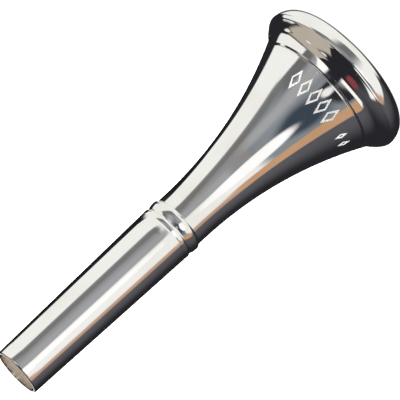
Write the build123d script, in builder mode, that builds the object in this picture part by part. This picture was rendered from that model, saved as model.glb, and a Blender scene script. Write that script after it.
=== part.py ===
from build123d import *

import os
from math import cos, radians, sin, sqrt, tan

# French horn mouthpiece with a screw rim. Millimetres. +Z is the bore axis.
# The mouthpiece stands on its rim: z = 0 is the crown of the rim, and the shank points up.
# Every profile is drawn as (radius, height) and turned round the Z axis.

# Overall
length = 66.0
rim_r = 12.5

# Rim section
crown_r = 10.0
rim_widest_z = 2.7
bite_r = 8.75
bite_z = 1.6
edge_round = 1.0
edge_angle = 45
underside_bulge = 0.06

# Flare: one long arc, tangent to the neck, that runs on over the collar of the rim
neck_r = 4.22
flare_top_z = 33.1
flare_radius = 64.0
seam_z = 6.45
collar_z = 4.85
seam_chamfer = 0.2
collar_fillet = 2.5

# Double bead between the neck and the shank, each part as (radius, height)
large_bead_foot_z = 34.2
large_bead_crest = (4.515, 34.8)
large_bead_top = (4.33, 35.84)
bead_groove_r = 4.26
bead_groove_z = (36.0, 36.12)
small_bead_crest = (4.445, 36.5)
small_bead_top = (4.38, 37.0)
shank_foot_z = 37.25

# Tapered shank
shank_end_r = 3.8
shank_taper = 0.021
shank_round = 0.25

# Cup, throat and backbore
seat_z = 2.6
seat_r = 8.5
cup_half_angle = 20
throat_r = 2.25
throat_z = (34.0, 37.5)
bore_end_r = 3.4

# Fine screw thread between the cup and the rim, with a relief at the foot of each
seat_gap = 0.02
pitch = 0.75
thread_depth = 0.35
crest_width = 0.15
flank_angle = 30
male_crest_r = 9.27
female_crest_r = 9.34
relief_height = 0.85
relief_extra = 0.03
groove_overcut = 0.05
lead_chamfer = 0.2
thread_lead = 0.6 * pitch

# Engraved ornament on the flare: outlined lozenges round the front, which faces -Y
mark_length = 3.3
mark_width = 1.5
mark_line = 0.25
mark_depth = 0.1
mark_clear = 0.5
mark_z = 9.3
front = -90
mark_step = 12
main_marks = [front + mark_step * i for i in (-2, -1, 0, 1, 2)]
side_marks = [front - 50, front - 50 - mark_step]
side_mark_scale = 0.6


# A turned face closes on itself in its profile's plane. The cup's profile lies on the -X side, which
# keeps that line clear of the thread's ends.
thread_plane = Plane.XZ
rim_plane = Plane.XZ
cup_plane = Plane.XZ.rotated((0, 0, 180))


def flare_r(z):
    """Outer radius of the flare at height z."""
    return neck_r + flare_radius - sqrt(flare_radius**2 - (flare_top_z - z) ** 2)


def shank_r(z):
    """Outer radius of the tapered shank at height z."""
    return shank_end_r + shank_taper * (length - z)


def flare_arc(low_z, high_z):
    """The stretch of the flare's arc between two heights."""
    mid_z = (low_z + high_z) / 2
    return ThreePointArc((flare_r(low_z), low_z), (flare_r(mid_z), mid_z), (flare_r(high_z), high_z))


def thread_groove(crest_r, root_r, z):
    """Section of one thread groove at height z, open a little past the crest."""
    open_r = crest_r + (groove_overcut if crest_r > root_r else -groove_overcut)
    slope = tan(radians(flank_angle))
    half_crest = (pitch - crest_width) / 2
    half_root = half_crest - abs(crest_r - root_r) * slope
    half_open = half_crest + groove_overcut * slope
    with BuildSketch(thread_plane) as section:
        with BuildLine():
            Polyline(
                (root_r, z - half_root),
                (open_r, z - half_open),
                (open_r, z + half_open),
                (root_r, z + half_root),
                close=True,
            )
        make_face()
    return section.sketch


# The funnel is an arc tangent to the throat, then a straight cone down to the seat.
cup_drop = throat_z[0] - seat_z
cup_widening = seat_r - throat_r
cup_angle = radians(cup_half_angle)
funnel_radius = (cup_drop * tan(cup_angle) - cup_widening) / (1 / cos(cup_angle) - 1)
funnel_low = (
    throat_r + funnel_radius * (1 - cos(cup_angle)),
    throat_z[0] - funnel_radius * sin(cup_angle),
)
funnel_mid = (
    throat_r + funnel_radius * (1 - cos(cup_angle / 2)),
    throat_z[0] - funnel_radius * sin(cup_angle / 2),
)

# Cup and shank: one turned piece
cup_top_z = seat_z + seat_gap
shoulder_z = seam_z + seat_gap
male_core_r = male_crest_r - thread_depth
male_relief_r = male_core_r - relief_extra
male_relief_z = shoulder_z - relief_height

with BuildPart() as cup_and_shank:
    with BuildSketch(cup_plane):
        with BuildLine():
            Polyline(
                (seat_r, cup_top_z),
                (male_relief_r, cup_top_z),
                (male_crest_r, cup_top_z + male_crest_r - male_relief_r),
                (male_crest_r, male_relief_z),
                (male_relief_r, male_relief_z),
                (male_relief_r, shoulder_z),
                (flare_r(shoulder_z) - seam_chamfer, shoulder_z),
                (flare_r(shoulder_z + seam_chamfer), shoulder_z + seam_chamfer),
            )
            flare_arc(shoulder_z + seam_chamfer, flare_top_z)
            Line((neck_r, flare_top_z), (neck_r, large_bead_foot_z))
            TangentArc(large_bead_crest, (neck_r, large_bead_foot_z), tangent=(0, -1))
            TangentArc(large_bead_crest, large_bead_top, tangent=(0, 1))
            Polyline(large_bead_top, (bead_groove_r, bead_groove_z[0]), (bead_groove_r, bead_groove_z[1]))
            TangentArc(small_bead_crest, (bead_groove_r, bead_groove_z[1]), tangent=(0, -1))
            TangentArc(small_bead_crest, small_bead_top, tangent=(0, 1))
            Polyline(
                small_bead_top,
                (shank_r(shank_foot_z), shank_foot_z),
                (shank_end_r, length),
                (bore_end_r, length),
                (throat_r, throat_z[1]),
                (throat_r, throat_z[0]),
            )
            ThreePointArc((throat_r, throat_z[0]), funnel_mid, funnel_low)
            Line(funnel_low, (seat_r, cup_top_z))
        make_face()
    revolve(axis=Axis.Z)
    end_edge = edges().filter_by(GeomType.CIRCLE).group_by(Axis.Z)[-1].sort_by(SortBy.RADIUS)[-1]
    fillet(end_edge, shank_round)

    # Male thread, cut from below the cup's edge up into the relief under the shoulder
    male_start_z = cup_top_z - thread_lead
    male_stop_z = shoulder_z - relief_height / 2
    with BuildLine() as male_helix:
        Helix(pitch, male_stop_z - male_start_z, male_crest_r, center=(0, 0, male_start_z))
    sweep(
        thread_groove(male_crest_r, male_core_r, male_start_z),
        male_helix.line,
        is_frenet=True,
        mode=Mode.SUBTRACT,
    )

    # Engraved marks, each cut square to the skin of the flare
    steepness = (flare_top_z - mark_z) / flare_radius
    lean = sqrt(1 - steepness**2)
    for angles, size in ((main_marks, 1), (side_marks, side_mark_scale)):
        for angle in angles:
            out_x = cos(radians(angle))
            out_y = sin(radians(angle))
            skin = Plane(
                origin=(out_x * flare_r(mark_z), out_y * flare_r(mark_z), mark_z),
                x_dir=(-out_y, out_x, 0),
                z_dir=(out_x * lean, out_y * lean, steepness),
            )
            half_width = mark_width * size / 2
            half_length = mark_length * size / 2
            with BuildSketch(skin.offset(mark_clear)):
                with BuildLine():
                    Polyline((half_width, 0), (0, half_length), (-half_width, 0), (0, -half_length), close=True)
                make_face()
                offset(amount=-mark_line, kind=Kind.INTERSECTION, mode=Mode.SUBTRACT)
            extrude(amount=-(mark_clear + mark_depth), mode=Mode.SUBTRACT)

cup_and_shank.part.label = "cup_and_shank"

# Rim ring with its collar
female_root_r = female_crest_r + thread_depth
female_relief_r = female_root_r + relief_extra
edge_centre_r = rim_r - edge_round
underside_high = (flare_r(collar_z), collar_z)
underside_low = (
    edge_centre_r + edge_round * cos(radians(edge_angle)),
    rim_widest_z + edge_round * sin(radians(edge_angle)),
)
underside_mid = (
    (underside_high[0] + underside_low[0]) / 2 + underside_bulge,
    (underside_high[1] + underside_low[1]) / 2 + underside_bulge,
)

with BuildPart() as rim:
    with BuildSketch(rim_plane):
        with BuildLine():
            EllipticalCenterArc((crown_r, bite_z), crown_r - bite_r, bite_z, 180, arc_size=90)
            EllipticalCenterArc((crown_r, rim_widest_z), rim_r - crown_r, rim_widest_z, 270, arc_size=90)
            CenterArc((edge_centre_r, rim_widest_z), edge_round, 0, edge_angle)
            ThreePointArc(underside_low, underside_mid, underside_high)
            flare_arc(collar_z, seam_z - seam_chamfer)
            Polyline(
                (flare_r(seam_z - seam_chamfer), seam_z - seam_chamfer),
                (flare_r(seam_z) - seam_chamfer, seam_z),
                (female_crest_r + lead_chamfer, seam_z),
                (female_crest_r, seam_z - lead_chamfer),
                (female_crest_r, seat_z + relief_height),
                (female_relief_r, seat_z + relief_height),
                (female_relief_r, seat_z),
                (seat_r, seat_z),
                (bite_r, bite_z),
            )
        make_face()
        collar_corner = vertices().sort_by_distance(underside_high)[0]
        fillet(collar_corner, collar_fillet)
    revolve(axis=Axis.Z)

    # Female thread, cut from the relief at its foot up and out through the mouth of the collar
    female_start_z = seat_z + relief_height / 2
    female_stop_z = seam_z + thread_lead
    with BuildLine() as female_helix:
        Helix(pitch, female_stop_z - female_start_z, female_crest_r, center=(0, 0, female_start_z))
    sweep(
        thread_groove(female_crest_r, female_root_r, female_start_z),
        female_helix.line,
        is_frenet=True,
        mode=Mode.SUBTRACT,
    )

rim.part.label = "rim"

os.makedirs("parts", exist_ok=True)
export_step(cup_and_shank.part, "parts/cup_and_shank.step")
export_step(rim.part, "parts/rim.step")
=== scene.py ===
import math

import bpy
import bmesh
from mathutils import Matrix, Vector


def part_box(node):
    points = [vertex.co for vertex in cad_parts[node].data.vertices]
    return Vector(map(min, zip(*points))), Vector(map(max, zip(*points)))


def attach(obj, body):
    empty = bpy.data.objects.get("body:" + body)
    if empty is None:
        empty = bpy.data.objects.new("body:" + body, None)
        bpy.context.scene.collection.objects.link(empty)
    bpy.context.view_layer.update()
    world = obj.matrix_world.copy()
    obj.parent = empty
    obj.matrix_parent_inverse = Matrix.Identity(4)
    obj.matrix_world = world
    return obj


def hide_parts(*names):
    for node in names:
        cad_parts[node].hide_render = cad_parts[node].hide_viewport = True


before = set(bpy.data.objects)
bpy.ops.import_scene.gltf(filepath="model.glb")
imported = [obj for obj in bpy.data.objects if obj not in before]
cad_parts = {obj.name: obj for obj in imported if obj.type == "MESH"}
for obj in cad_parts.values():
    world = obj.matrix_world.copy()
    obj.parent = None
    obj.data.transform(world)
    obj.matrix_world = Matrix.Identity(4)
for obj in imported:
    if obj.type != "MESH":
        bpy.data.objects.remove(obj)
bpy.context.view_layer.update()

# French horn mouthpiece with a screw rim, silver plated, standing on its rim.
# Profiles are (radius, height, zone), in millimetres about the Z axis. MM turns them into metres.
MM = 0.001
SEGMENTS = 290

# Zones of a piece, each with its own material slot
ZONES = ["plate", "bore", "thread", "satin"]

rim_low, rim_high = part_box("rim")
cup_low, cup_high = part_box("cup_and_shank")

# Sizes that the frame gives
length = cup_high.z / MM
rim_r = rim_high.x / MM
seam_z = rim_high.z / MM
cup_top_z = cup_low.z / MM

# Rim section
crown_r = 10.0
rim_widest_z = 2.7
bite_r = 8.75
bite_z = 1.6
bite_straight = 0.2
edge_round = 1.0
edge_angle = 45
underside_bulge = 0.06

# Flare, beads and shank
neck_r = 4.22
flare_top_z = 33.1
flare_radius = 64.0
collar_z = 4.85
seam_chamfer = 0.2
seam_gap = 0.02
fillet_rise = 0.52
large_bead_foot_z = 34.2
large_bead_crest = (4.515, 34.8)
large_bead_top = (4.33, 35.84)
bead_groove_r = 4.26
bead_groove_z = (36.0, 36.12)
small_bead_crest = (4.445, 36.5)
small_bead_top = (4.38, 37.0)
shank_foot_z = 37.25
shank_end_r = 3.8
shank_taper = 0.021
shank_round = 0.25

# Cup, throat and backbore
seat_z = 2.6
seat_r = 8.5
cup_half_angle = math.radians(20)
throat_r = 2.25
throat_z = (34.0, 37.5)
bore_end_r = 3.4
bore_lip = (bore_end_r - 0.05, length - 1.5)
bore_start = (bore_end_r - 0.1, length - 3)

# Screw thread
pitch = 0.75
thread_depth = 0.35
crest_width = 0.15
flank = thread_depth * math.tan(math.radians(30))
male_crest_r = 9.27
female_crest_r = 9.34
relief_height = 0.85
relief_extra = 0.03
lead_chamfer = 0.2
lead_clear = 0.02

# Engraved lozenges round the front, which faces -Y
mark_length = 3.3
mark_width = 1.5
mark_line = 0.27
mark_depth = 0.1
mark_clear = 0.1
mark_z = 9.3
front = -90
mark_step = 12
main_marks = [front + mark_step * i for i in (-2, -1, 0, 1, 2)]
side_marks = [front - 50, front - 50 - mark_step]
side_mark_scale = 0.6

# Rounding of the sharp corners: the radius, the least turn that is rounded, and the least room it needs
corner_round = 0.04
least_turn = math.radians(9)
least_room = 0.02

# How far a point may lie from the flare's curve and still count as its skin
skin_tolerance = 0.003


# ---------------------------------------------------------------- profiles

def flare_r(z):
    """Outer radius of the flare at height z."""
    return neck_r + flare_radius - math.sqrt(flare_radius**2 - (flare_top_z - z) ** 2)


def shank_r(z):
    """Outer radius of the tapered shank at height z."""
    return shank_end_r + shank_taper * (length - z)


def line(start, end, steps):
    """Points from start towards end, without the last."""
    a, b = Vector(start), Vector(end)
    return [tuple(a.lerp(b, i / steps)) for i in range(steps)]


def flare(low_z, high_z, steps):
    """Points up the flare, without the last."""
    heights = [low_z + (high_z - low_z) * i / steps for i in range(steps)]
    return [(flare_r(z), z) for z in heights]


def arc(start, middle, end, steps):
    """Points on the arc through three points, without the last."""
    a, b, c = (Vector(p) for p in (start, middle, end))
    ab, ac = b - a, c - a
    cross = 2 * (ab.x * ac.y - ab.y * ac.x)
    centre = a + Vector((
        (ac.y * ab.length_squared - ab.y * ac.length_squared) / cross,
        (ab.x * ac.length_squared - ac.x * ab.length_squared) / cross,
    ))
    radius = (a - centre).length
    first = math.atan2(a.y - centre.y, a.x - centre.x)
    last = math.atan2(c.y - centre.y, c.x - centre.x)
    turn = (last - first) % math.tau
    if cross < 0:
        turn -= math.tau
    angles = [first + turn * i / steps for i in range(steps)]
    return [(centre.x + radius * math.cos(t), centre.y + radius * math.sin(t)) for t in angles]


def ellipse(centre, wide, high, first, turn, steps):
    """Points on part of an ellipse, angles in degrees, without the last."""
    angles = [math.radians(first + turn * i / steps) for i in range(steps)]
    return [(centre[0] + wide * math.cos(t), centre[1] + high * math.sin(t)) for t in angles]


def bead(foot, crest, top, steps):
    """Points over a bead, without the last: an arc on each side of its crest, both upright at the crest."""
    points = []
    for end, way in ((foot, -1), (top, 1)):
        drop = crest[0] - end[0]
        reach = abs(end[1] - crest[1])
        radius = (drop**2 + reach**2) / (2 * drop)
        turns = [math.asin(reach / radius) * i / steps for i in range(steps + 1)]
        side = [(crest[0] - radius * (1 - math.cos(t)), crest[1] + way * radius * math.sin(t)) for t in turns]
        points += side[::-1] if way < 0 else side[1:-1]
    return points


def blend(start, corner, end, steps):
    """Points on a smooth curve from start to end that bends towards the corner."""
    a, b, c = Vector(start), Vector(corner), Vector(end)
    shares = [i / steps for i in range(steps + 1)]
    return [tuple(a * (1 - t) ** 2 + b * 2 * t * (1 - t) + c * t**2) for t in shares]


def soften(points):
    """Rounds the sharp corners of an open outline and sets a point close by on either side of each."""
    result = [points[0]]
    for before, corner, after in zip(points, points[1:], points[2:]):
        here = Vector(corner)
        back = Vector(before) - here
        ahead = Vector(after) - here
        turn = math.pi - back.angle(ahead)
        room = min(back.length, ahead.length)
        if turn < least_turn or room < least_room:
            result.append(corner)
            continue
        cut = min(corner_round * math.tan(turn / 2), 0.3 * room)
        guard = min(2.2 * cut, 0.45 * room)
        into = here + back.normalized() * cut
        out = here + ahead.normalized() * cut
        result.append(tuple(here + back.normalized() * guard))
        for step in range(5):
            t = step / 4
            result.append(tuple(into * (1 - t) ** 2 + here * 2 * t * (1 - t) + out * t**2))
        result.append(tuple(here + ahead.normalized() * guard))
    result.append(points[-1])
    return result


def thread_height(phase):
    """0 at the root and 1 at the crest of the thread, for a place from 0 to 1 along one pitch."""
    crest = crest_width / pitch
    slope = flank / pitch
    if phase < crest:
        return 1.0
    if phase < crest + slope:
        return 1 - (phase - crest) / slope
    if phase < 1 - slope:
        return 0.0
    return (phase - 1 + slope) / slope


def thread_phases():
    """Places along one pitch that get a row: each corner of the thread, and one close by on either side."""
    crest = crest_width / pitch
    slope = flank / pitch
    beside = 0.012
    corners = (0.0, crest, crest + slope, 1 - slope)
    return sorted((corner + step) % 1 for corner in corners for step in (-beside, 0, beside))


def thread(low, high, radius_at, rising):
    """Rows of a screw thread, each a list of (radius, height) for every segment.

    A row climbs one pitch in a turn and is held between the two heights.
    """
    turns = math.ceil((high - low) / pitch) + 1
    starts = [low + (turn - 1 + phase) * pitch for turn in range(turns + 1) for phase in thread_phases()]
    rows = []
    for start in starts:
        row = []
        for i in range(SEGMENTS):
            climb = pitch * i / SEGMENTS
            z = min(max(start + climb, low), high)
            row.append((radius_at(z, thread_height((z - climb - low) / pitch % 1)), z))
        rows.append(row)
    return rows if rising else rows[::-1]


# ---------------------------------------------------------------- turned meshes

def turned(name, stretches):
    """A closed turned mesh from stretches (points or thread rows, zone, kind) that follow one another."""
    mesh = bmesh.new()
    rings = []
    for points, zone, kind in stretches:
        rows = points if kind != "points" else [[p] * SEGMENTS for p in points]
        shift = {"points": 0, "rising": len(thread_phases()), "falling": -len(thread_phases())}[kind]
        band = []
        for row in rows:
            ring = []
            for i, (r, z) in enumerate(row):
                angle = math.tau * i / SEGMENTS
                ring.append(mesh.verts.new((r * MM * math.cos(angle), r * MM * math.sin(angle), z * MM)))
            band.append(ring)
        for j, ring in enumerate(band):
            closing = band[min(max(j + shift, 0), len(band) - 1)][0]
            rings.append((ring + [closing], zone))
    for k, (ring, zone) in enumerate(rings):
        above = rings[(k + 1) % len(rings)][0]
        for i in range(SEGMENTS):
            corners = dict.fromkeys((ring[i], ring[i + 1], above[i + 1], above[i]))
            if len(corners) > 2:
                face = mesh.faces.new(corners)
                face.material_index = ZONES.index(zone)
                face.smooth = True
    bmesh.ops.remove_doubles(mesh, verts=mesh.verts, dist=1e-7)
    bmesh.ops.recalc_face_normals(mesh, faces=mesh.faces)
    return placed(name, mesh)


def placed(name, mesh):
    """Makes an object from a bmesh."""
    data = bpy.data.meshes.new(name)
    mesh.to_mesh(data)
    mesh.free()
    piece = bpy.data.objects.new(name, data)
    bpy.context.scene.collection.objects.link(piece)
    return piece


def lozenge(half_width, half_length, inset):
    """Corners of a lozenge whose sides are moved inwards by inset."""
    share = 1 - inset * math.hypot(half_width, half_length) / (half_width * half_length)
    w, h = half_width * share, half_length * share
    return ((w, 0), (0, h), (-w, 0), (0, -h))


def engrave(piece, satin_slot):
    """Cuts the outlined lozenges into the flare as V-shaped lines."""
    mesh = bmesh.new()
    steepness = (flare_top_z - mark_z) / flare_radius
    lean = math.sqrt(1 - steepness**2)
    slope = mark_line / 2 / mark_depth
    for angles, size in ((main_marks, 1), (side_marks, side_mark_scale)):
        for angle in angles:
            out = Vector((math.cos(math.radians(angle)), math.sin(math.radians(angle)), 0))
            side = Vector((-out.y, out.x, 0))
            skin = out * lean + Vector((0, 0, steepness))
            up = skin.cross(side)
            base = out * flare_r(mark_z) + Vector((0, 0, mark_z))
            loops = []
            for inset, height in (
                (-mark_clear * slope, mark_clear),
                (mark_line / 2, -mark_depth),
                (mark_line + mark_clear * slope, mark_clear),
            ):
                corners = lozenge(mark_width * size / 2, mark_length * size / 2, inset)
                lifted = base + skin * height
                loops.append([mesh.verts.new((lifted + side * x + up * y) * MM) for x, y in corners])
            for j, loop in enumerate(loops):
                after = loops[(j + 1) % len(loops)]
                for i in range(4):
                    face = mesh.faces.new((loop[i], loop[(i + 1) % 4], after[(i + 1) % 4], after[i]))
                    face.material_index = satin_slot
    bmesh.ops.recalc_face_normals(mesh, faces=mesh.faces)
    cutter = placed("cutter", mesh)
    for slot in piece.data.materials:
        cutter.data.materials.append(slot)
    cut = piece.modifiers.new("engraving", "BOOLEAN")
    cut.operation = "DIFFERENCE"
    cut.solver = "EXACT"
    cut.object = cutter
    bpy.context.view_layer.update()
    result = piece.evaluated_get(bpy.context.evaluated_depsgraph_get())
    engraved = bpy.data.meshes.new_from_object(result)
    piece.modifiers.clear()
    piece.data = engraved
    bpy.data.objects.remove(cutter)
    for polygon in engraved.polygons:
        polygon.use_smooth = polygon.material_index != satin_slot
    smooth_flare(engraved, satin_slot)


def smooth_flare(data, satin_slot):
    """Gives the skin of the flare its true normals, which the cut edges of the marks would disturb."""
    normals = [(0, 0, 0)] * len(data.loops)
    low = (seam_z + seam_chamfer + 0.1) * MM
    high = flare_top_z * MM
    for polygon in data.polygons:
        if polygon.material_index == satin_slot:
            continue
        corners = [data.vertices[data.loops[i].vertex_index].co for i in polygon.loop_indices]
        on_skin = all(
            low < p.z < high
            and abs(math.hypot(p.x, p.y) / MM - flare_r(p.z / MM)) < skin_tolerance
            for p in corners
        )
        if on_skin:
            for i, p in zip(polygon.loop_indices, corners):
                steepness = (flare_top_z - p.z / MM) / flare_radius
                lean = math.sqrt(1 - steepness**2)
                reach = math.hypot(p.x, p.y)
                normals[i] = (lean * p.x / reach, lean * p.y / reach, steepness)
    data.normals_split_custom_set(normals)


# ---------------------------------------------------------------- materials

class Graph:
    """Short ways to build a node tree."""

    def __init__(self, tree):
        self.tree = tree
        tree.nodes.clear()

    def node(self, kind, inputs=None, **settings):
        made = self.tree.nodes.new(kind)
        for key, value in settings.items():
            setattr(made, key, value)
        for key, value in (inputs or {}).items():
            self.put(made.inputs[key], value)
        return made

    def put(self, socket, value):
        if isinstance(value, bpy.types.NodeSocket):
            self.tree.links.new(value, socket)
        else:
            socket.default_value = value

    def math(self, operation, *values):
        made = self.node("ShaderNodeMath", operation=operation)
        for socket, value in zip(made.inputs, values):
            self.put(socket, value)
        return made.outputs[0]

    def mix(self, share, low, high):
        made = self.node("ShaderNodeMix", {"Factor": share}, data_type="RGBA")
        self.put(made.inputs[6], low)
        self.put(made.inputs[7], high)
        return made.outputs[2]

    def ramp(self, value, low, high, to_low=0.0, to_high=1.0):
        made = self.node(
            "ShaderNodeMapRange",
            {"Value": value, "From Min": low, "From Max": high, "To Min": to_low, "To Max": to_high},
            interpolation_type="SMOOTHSTEP",
        )
        return made.outputs[0]

    def noise(self, scale, stretch=(1, 1, 1), turn=(0, 0, 0), detail=2.0, rough=0.5):
        place = self.node("ShaderNodeTexCoord").outputs["Object"]
        spread = self.node("ShaderNodeMapping", {"Vector": place, "Scale": stretch, "Rotation": turn})
        made = self.node(
            "ShaderNodeTexNoise",
            {"Vector": spread.outputs[0], "Scale": scale, "Detail": detail, "Roughness": rough},
        )
        return made.outputs["Fac"]


def metal(name, bright, dull, gloss, haze, ring_depth, scratch_depth, metallic=1.0):
    """A turned and buffed metal: rings round the axis, stray fine scratches, haze and a change of tone."""
    material = bpy.data.materials.new(name)
    material.use_nodes = True
    g = Graph(material.node_tree)
    tone = g.ramp(g.noise(160, detail=4), 0.42, 0.68)
    colour = g.mix(tone, (*bright, 1), (*dull, 1))
    rings = g.noise(55, stretch=(1, 1, 70), detail=3)
    scratches = []
    for turn in ((0.4, 0.9, 0.2), (1.3, -0.5, 0.7), (-0.8, 0.3, 1.9)):
        grain = g.noise(300, stretch=(1, 22, 22), turn=turn, detail=1)
        scratches.append(g.ramp(grain, 0.72, 0.76))
    scratch = g.math("MAXIMUM", g.math("MAXIMUM", scratches[0], scratches[1]), scratches[2])
    smear = g.ramp(g.noise(95, stretch=(1, 1, 0.6), turn=(0.3, 0.2, 0), detail=5, rough=0.6), 0.5, 0.75)
    roughness = g.math("MULTIPLY_ADD", smear, haze, gloss)
    roughness = g.math("MULTIPLY_ADD", rings, haze * 0.5, roughness)
    roughness = g.math("MULTIPLY_ADD", scratch, 0.06, roughness)
    turning = g.node(
        "ShaderNodeBump",
        {"Height": rings, "Strength": 0.5, "Distance": ring_depth * MM},
    )
    scored = g.node(
        "ShaderNodeBump",
        {"Height": scratch, "Strength": 0.5, "Distance": scratch_depth * MM, "Normal": turning.outputs[0]},
        invert=True,
    )
    shader = g.node(
        "ShaderNodeBsdfPrincipled",
        {"Base Color": colour, "Metallic": metallic, "Roughness": roughness, "Normal": scored.outputs[0]},
    )
    g.node("ShaderNodeOutputMaterial", {"Surface": shader.outputs[0]})
    return material


silver_plate = metal("silver_plate", (0.965, 0.955, 0.94), (0.91, 0.89, 0.85), 0.035, 0.05, 0.0010, 0.0006)
rim_plate = metal("rim_plate", (0.965, 0.955, 0.94), (0.92, 0.90, 0.87), 0.03, 0.04, 0.0008, 0.0006)
bore_plate = metal("bore_plate", (0.98, 0.90, 0.80), (0.92, 0.79, 0.65), 0.20, 0.05, 0.0006, 0.0003, 0.55)
thread_plate = metal("thread_plate", (0.90, 0.86, 0.78), (0.62, 0.54, 0.42), 0.20, 0.18, 0.0020, 0.0010)
satin_plate = metal("satin_plate", (0.98, 0.975, 0.96), (0.90, 0.88, 0.84), 0.26, 0.12, 0.0030, 0.0010, 0.6)


# ---------------------------------------------------------------- the two pieces

def build_cup():
    """The cup, throat, beads and shank: one turned piece."""
    shoulder_z = seam_z + seam_gap
    core_r = male_crest_r - thread_depth
    relief_r = core_r - relief_extra
    relief_z = shoulder_z - relief_height

    def male_r(z, height):
        return min(core_r + thread_depth * height, relief_r + z - cup_top_z)

    drop = throat_z[0] - seat_z
    funnel_radius = (drop * math.tan(cup_half_angle) - seat_r + throat_r) / (1 / math.cos(cup_half_angle) - 1)
    funnel = [
        (throat_r + funnel_radius * (1 - math.cos(t)), throat_z[0] - funnel_radius * math.sin(t))
        for t in (cup_half_angle * i / 26 for i in range(27))
    ]
    shank_foot = (shank_r(shank_foot_z), shank_foot_z)
    round_centre = (shank_end_r - shank_round, length - shank_round)
    outside = soften(
        [(relief_r, relief_z), (relief_r, shoulder_z), (flare_r(shoulder_z) - seam_chamfer, shoulder_z)]
        + flare(shoulder_z + seam_chamfer, flare_top_z, 44)
        + [(neck_r, flare_top_z)]
        + bead((neck_r, large_bead_foot_z), large_bead_crest, large_bead_top, 10)
        + [large_bead_top, (bead_groove_r, bead_groove_z[0])]
        + bead((bead_groove_r, bead_groove_z[1]), small_bead_crest, small_bead_top, 8)
        + [small_bead_top]
        + line(shank_foot, (shank_end_r, length - shank_round), 14)
        + ellipse(round_centre, shank_round, shank_round, 0, 90, 6)
        + [(shank_end_r - shank_round, length), (bore_end_r, length), bore_lip]
    )
    inside = soften(
        [bore_lip]
        + line(bore_start, (throat_r, throat_z[1]), 8)
        + [(throat_r, throat_z[1])]
        + funnel
        + [(seat_r, cup_top_z), (relief_r, cup_top_z)]
    )
    return turned(
        "cup_and_shank_plated",
        [
            (thread(cup_top_z, relief_z, male_r, True), "thread", "rising"),
            (outside[:-1], "plate", "points"),
            (inside, "bore", "points"),
        ],
    )


def build_rim():
    """The rim ring with its collar."""
    root_r = female_crest_r + thread_depth
    relief_r = root_r + relief_extra
    edge_centre_r = rim_r - edge_round
    under_high = Vector((flare_r(collar_z), collar_z))
    under_low = Vector((
        edge_centre_r + edge_round * math.cos(math.radians(edge_angle)),
        rim_widest_z + edge_round * math.sin(math.radians(edge_angle)),
    ))
    under_middle = (under_high + under_low) / 2 + Vector((underside_bulge, underside_bulge))

    def female_r(z, height):
        return max(root_r - thread_depth * height, female_crest_r + lead_chamfer - seam_z + z)

    underside = arc(under_low, under_middle, under_high, 24)
    fillet_high_z = collar_z + fillet_rise
    outside = soften(
        ellipse((crown_r, bite_z), crown_r - bite_r, bite_z, 180, 90, 16)
        + ellipse((crown_r, rim_widest_z), rim_r - crown_r, rim_widest_z, 270, 90, 28)
        + ellipse((edge_centre_r, rim_widest_z), edge_round, edge_round, 0, edge_angle, 10)
        + underside[:-6]
        + blend(underside[-6], under_high, (flare_r(fillet_high_z), fillet_high_z), 14)[:-1]
        + flare(fillet_high_z, seam_z - seam_chamfer, 6)
        + [(flare_r(seam_z - seam_chamfer), seam_z - seam_chamfer), (flare_r(seam_z) - seam_chamfer, seam_z)]
        + [(root_r + lead_clear, seam_z)]
    )
    inside = soften([
        (relief_r, seat_z + relief_height),
        (relief_r, seat_z),
        (seat_r, seat_z),
        (bite_r, bite_z + bite_straight),
        (bite_r, bite_z),
    ])
    return turned(
        "rim_plated",
        [
            (outside, "plate", "points"),
            (thread(seat_z + relief_height, seam_z, female_r, False), "thread", "falling"),
            (inside[:-1], "bore", "points"),
        ],
    )


cup = build_cup()
for material in (silver_plate, bore_plate, thread_plate, satin_plate):
    cup.data.materials.append(material)
engrave(cup, ZONES.index("satin"))
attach(cup, "cup_and_shank")
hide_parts("cup_and_shank")

rim = build_rim()
for material in (rim_plate, rim_plate, thread_plate):
    rim.data.materials.append(material)
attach(rim, "rim")
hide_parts("rim")


# ---------------------------------------------------------------- floor, light and camera

def build_floor():
    """A plain pale floor, left out of the reflections in the metal."""
    half = 3.0
    mesh = bmesh.new()
    bmesh.ops.create_grid(mesh, x_segments=2, y_segments=2, size=half)
    floor = placed("floor", mesh)
    material = bpy.data.materials.new("floor")
    material.use_nodes = True
    shader = material.node_tree.nodes["Principled BSDF"]
    shader.inputs["Base Color"].default_value = (0.9, 0.9, 0.9, 1)
    shader.inputs["Roughness"].default_value = 0.9
    shader.inputs["Specular IOR Level"].default_value = 0.1
    shader.inputs["Emission Color"].default_value = (1, 1, 1, 1)
    shader.inputs["Emission Strength"].default_value = 0.75
    floor.data.materials.append(material)
    floor.visible_glossy = False


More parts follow.
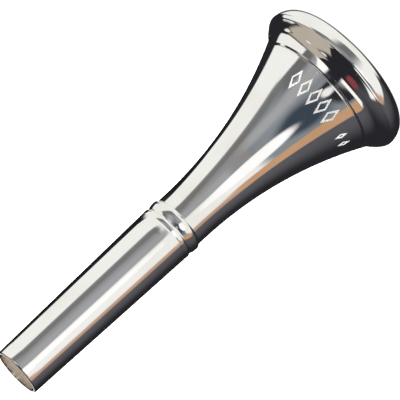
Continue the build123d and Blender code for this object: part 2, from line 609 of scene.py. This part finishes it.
class Studio(Graph):
    """The room round the object as soft shapes of light, placed by azimuth and elevation in degrees.

    Azimuth 0 is towards -Y, and +X is at +90. Later shapes cover earlier ones.
    """

    def __init__(self, tree, wall):
        super().__init__(tree)
        direction = self.node("ShaderNodeTexCoord").outputs["Generated"]
        parts = self.node("ShaderNodeSeparateXYZ", {0: direction}).outputs
        forward = self.math("MULTIPLY", parts[1], -1.0)
        self.azimuth = self.math("DEGREES", self.math("ARCTAN2", parts[0], forward))
        self.elevation = self.math("DEGREES", self.math("ARCSINE", parts[2]))
        self.colour = self.node("ShaderNodeRGB").outputs[0]
        self.colour.default_value = (*wall, 1)

    def offsets(self, azimuth, elevation, lean):
        up = self.math("SUBTRACT", self.elevation, elevation)
        across = self.math("SUBTRACT", self.azimuth, azimuth)
        across = self.math("SUBTRACT", across, self.math("MULTIPLY", up, lean))
        return self.math("WRAP", across, 180.0, -180.0), up

    def panel(self, azimuth, elevation, half_width, half_height, edges, colour, lean=0.0):
        """A rectangle of light with soft edges, whose sides lean by so many degrees for each one up."""
        across, up = self.offsets(azimuth, elevation, lean)
        shares = [
            self.ramp(self.math("ABSOLUTE", offset), half - edge, half + edge, 1.0, 0.0)
            for offset, half, edge in ((across, half_width, edges[0]), (up, half_height, edges[1]))
        ]
        self.colour = self.mix(self.math("MULTIPLY", *shares), self.colour, (*colour, 1))

    def spot(self, azimuth, elevation, half_width, half_height, edge, colour, lean=0.0):
        """An oval of light; edge is the softness as a share of its size."""
        across, up = self.offsets(azimuth, elevation, lean)
        wide = self.math("POWER", self.math("DIVIDE", across, half_width), 2.0)
        high = self.math("POWER", self.math("DIVIDE", up, half_height), 2.0)
        reach = self.math("SQRT", self.math("ADD", wide, high))
        self.colour = self.mix(self.ramp(reach, 1 - edge, 1 + edge, 1.0, 0.0), self.colour, (*colour, 1))

    def finish(self):
        light = self.node("ShaderNodeBackground", {"Color": self.colour, "Strength": 1.0})
        self.node("ShaderNodeOutputWorld", {"Surface": light.outputs[0]})


def build_painted_reflection_card():
    """A small glowing grey sheet low in front of the rim, partly under the floor, which only the metal's
    reflections show: a painted grey reflection in the rim.
    """
    mesh = bmesh.new()
    centre = (4 * MM, -5 * MM)
    reach = (9 * MM, 8 * MM)
    corners = [
        (centre[0] + x * reach[0], -20 * MM, centre[1] + z * reach[1])
        for x, z in ((-1, -1), (1, -1), (1, 1), (-1, 1))
    ]
    mesh.faces.new([mesh.verts.new(corner) for corner in corners])
    card = placed("painted_grey_reflection", mesh)
    material = bpy.data.materials.new("painted_grey_reflection")
    material.use_nodes = True
    g = Graph(material.node_tree)
    place = g.node("ShaderNodeTexCoord").outputs["Object"]
    parts = g.node("ShaderNodeSeparateXYZ", {0: place}).outputs
    across = g.math("ABSOLUTE", g.math("SUBTRACT", parts[0], centre[0]))
    up = g.math("ABSOLUTE", g.math("SUBTRACT", parts[2], centre[1]))
    fade = [g.ramp(across, 2 * MM, reach[0], 1.0, 0.0), g.ramp(up, 4 * MM, reach[1], 1.0, 0.0)]
    share = g.math("MULTIPLY", *fade)
    clear = g.node("ShaderNodeBsdfTransparent")
    # The grey glow is a painted reflection: it lights nothing and only shows in the metal
    glow = g.node("ShaderNodeEmission", {"Color": (0.17, 0.17, 0.173, 1), "Strength": 1.0})
    shader = g.node("ShaderNodeMixShader", {0: share, 1: clear.outputs[0], 2: glow.outputs[0]})
    g.node("ShaderNodeOutputMaterial", {"Surface": shader.outputs[0]})
    card.data.materials.append(material)
    card.visible_camera = False
    card.visible_diffuse = False
    card.visible_shadow = False


def build_light():
    """Soft studio light: white tables and panels, a grey card behind the camera and dark flags."""
    world = bpy.data.worlds.new("studio")
    bpy.context.scene.world = world
    world.use_nodes = True
    white = (0.90, 0.905, 0.88)
    bright = (1.0, 1.0, 1.0)
    dark = (0.02, 0.02, 0.024)
    s = Studio(world.node_tree, wall=dark)
    # Charcoal side of the room, lighter towards the camera
    s.spot(-78, 0, 27, 70, 0.95, (0.10, 0.10, 0.115))
    # White table below, all round underneath and further up on the camera's side
    s.panel(0, -85, 181, 14, (1, 4), white)
    s.panel(38, -53, 108, 37, (4, 1.5), white)
    s.spot(172, -32, 13, 21, 0.3, white)
    # Grey card behind the camera: bluish higher up, lighter in the middle, and darker beside the white wall
    s.panel(10, -4, 68, 11, (3, 2), (0.27, 0.27, 0.273))
    s.panel(10, 18, 68, 12.5, (3, 1.5), (0.24, 0.265, 0.29))
    s.panel(33, 17, 12, 13, (7, 3), (0.37, 0.38, 0.385))
    s.panel(5, -10, 15, 9, (14, 2), (0.36, 0.375, 0.39))
    s.panel(55, 3, 9, 20, (6, 2), (0.185, 0.185, 0.188), lean=1.0)
    s.panel(61, 23, 10, 6, (4, 2), (0.15, 0.15, 0.155))
    # White wall, with a dark corner above its far end
    s.panel(86, -2, 23, 17, (3, 1), white, lean=1.0)
    s.panel(97, 19.5, 25.5, 6, (1.5, 2), white, lean=-0.8)
    s.panel(108, 3, 23, 22, (2, 3), white)
    s.spot(146, 25, 29, 17, 0.15, dark, lean=-1.0)
    s.panel(152, -12.5, 33, 3.2, (2, 1), (0.012, 0.012, 0.014), lean=3.0)
    # Window: a bright oval with a dark blue rim above it, and thin glints
    s.panel(-34, -12, 27, 17, (4, 3), (0.90, 0.90, 0.89))
    s.spot(-17, 19.5, 27, 7.5, 0.35, (0.045, 0.063, 0.088))
    s.spot(34, 31.6, 17, 2.5, 0.2, (1.1, 1.1, 1.1))
    s.spot(-21, 2, 16, 15, 0.15, (1.05, 1.05, 1.05))
    s.panel(-22, 29.8, 26, 3.0, (3, 1), (0.022, 0.022, 0.027))
    s.spot(-10, 28.3, 7, 1.5, 0.3, (0.9, 0.9, 0.9))
    # Tan card, paler low down, and a white card above it
    s.panel(-62.7, 13, 9.7, 19, (1.5, 4), (0.56, 0.33, 0.19))
    s.panel(-66, -14, 6, 12, (6, 5), (0.56, 0.36, 0.25))
    s.panel(-42, 41, 31, 8.5, (4, 2), (1.0, 0.99, 0.97))
    # Ceiling: a beige patch with white ends, a dim red patch, and a pale card behind
    s.panel(84, 48, 41, 17, (2, 4), (0.485, 0.44, 0.376))
    s.spot(135, 33, 8, 5, 0.3, white)
    s.spot(109, 57, 8, 4, 0.3, bright)
    s.spot(88, 70, 20, 3, 0.3, white)
    s.spot(-48, 72, 24, 7, 0.3, (0.24, 0.05, 0.06))
    s.spot(180, 15, 9, 8, 0.25, (0.85, 0.78, 0.74))
    s.finish()
    sun = bpy.data.lights.new("overhead", "AREA")
    sun.shape = "DISK"
    sun.size = 1.6
    sun.energy = 34.0
    overhead = bpy.data.objects.new("overhead", sun)
    overhead.location = (0, 0, 1.2)
    overhead.visible_glossy = False
    bpy.context.scene.collection.objects.link(overhead)


def build_camera():
    """A long lens on the shank side that looks down at the engraved front, rolled as the object is tilted."""
    place = Vector((0.00026, -0.4341, 0.1482))
    aim = Vector((0.00026, 0, 0.0295))
    roll = math.radians(-132.86)
    camera_data = bpy.data.cameras.new("camera")
    camera_data.sensor_width = 36
    camera_data.lens = 283.8
    camera_data.clip_start = 0.01
    camera = bpy.data.objects.new("camera", camera_data)
    look = (aim - place).to_track_quat("-Z", "Y").to_matrix().to_4x4()
    camera.matrix_world = Matrix.Translation(place) @ look @ Matrix.Rotation(roll, 4, "Z")
    bpy.context.scene.collection.objects.link(camera)
    bpy.context.scene.camera = camera


build_floor()
build_painted_reflection_card()
build_light()
build_camera()
bpy.context.scene.view_settings.view_transform = "Standard"
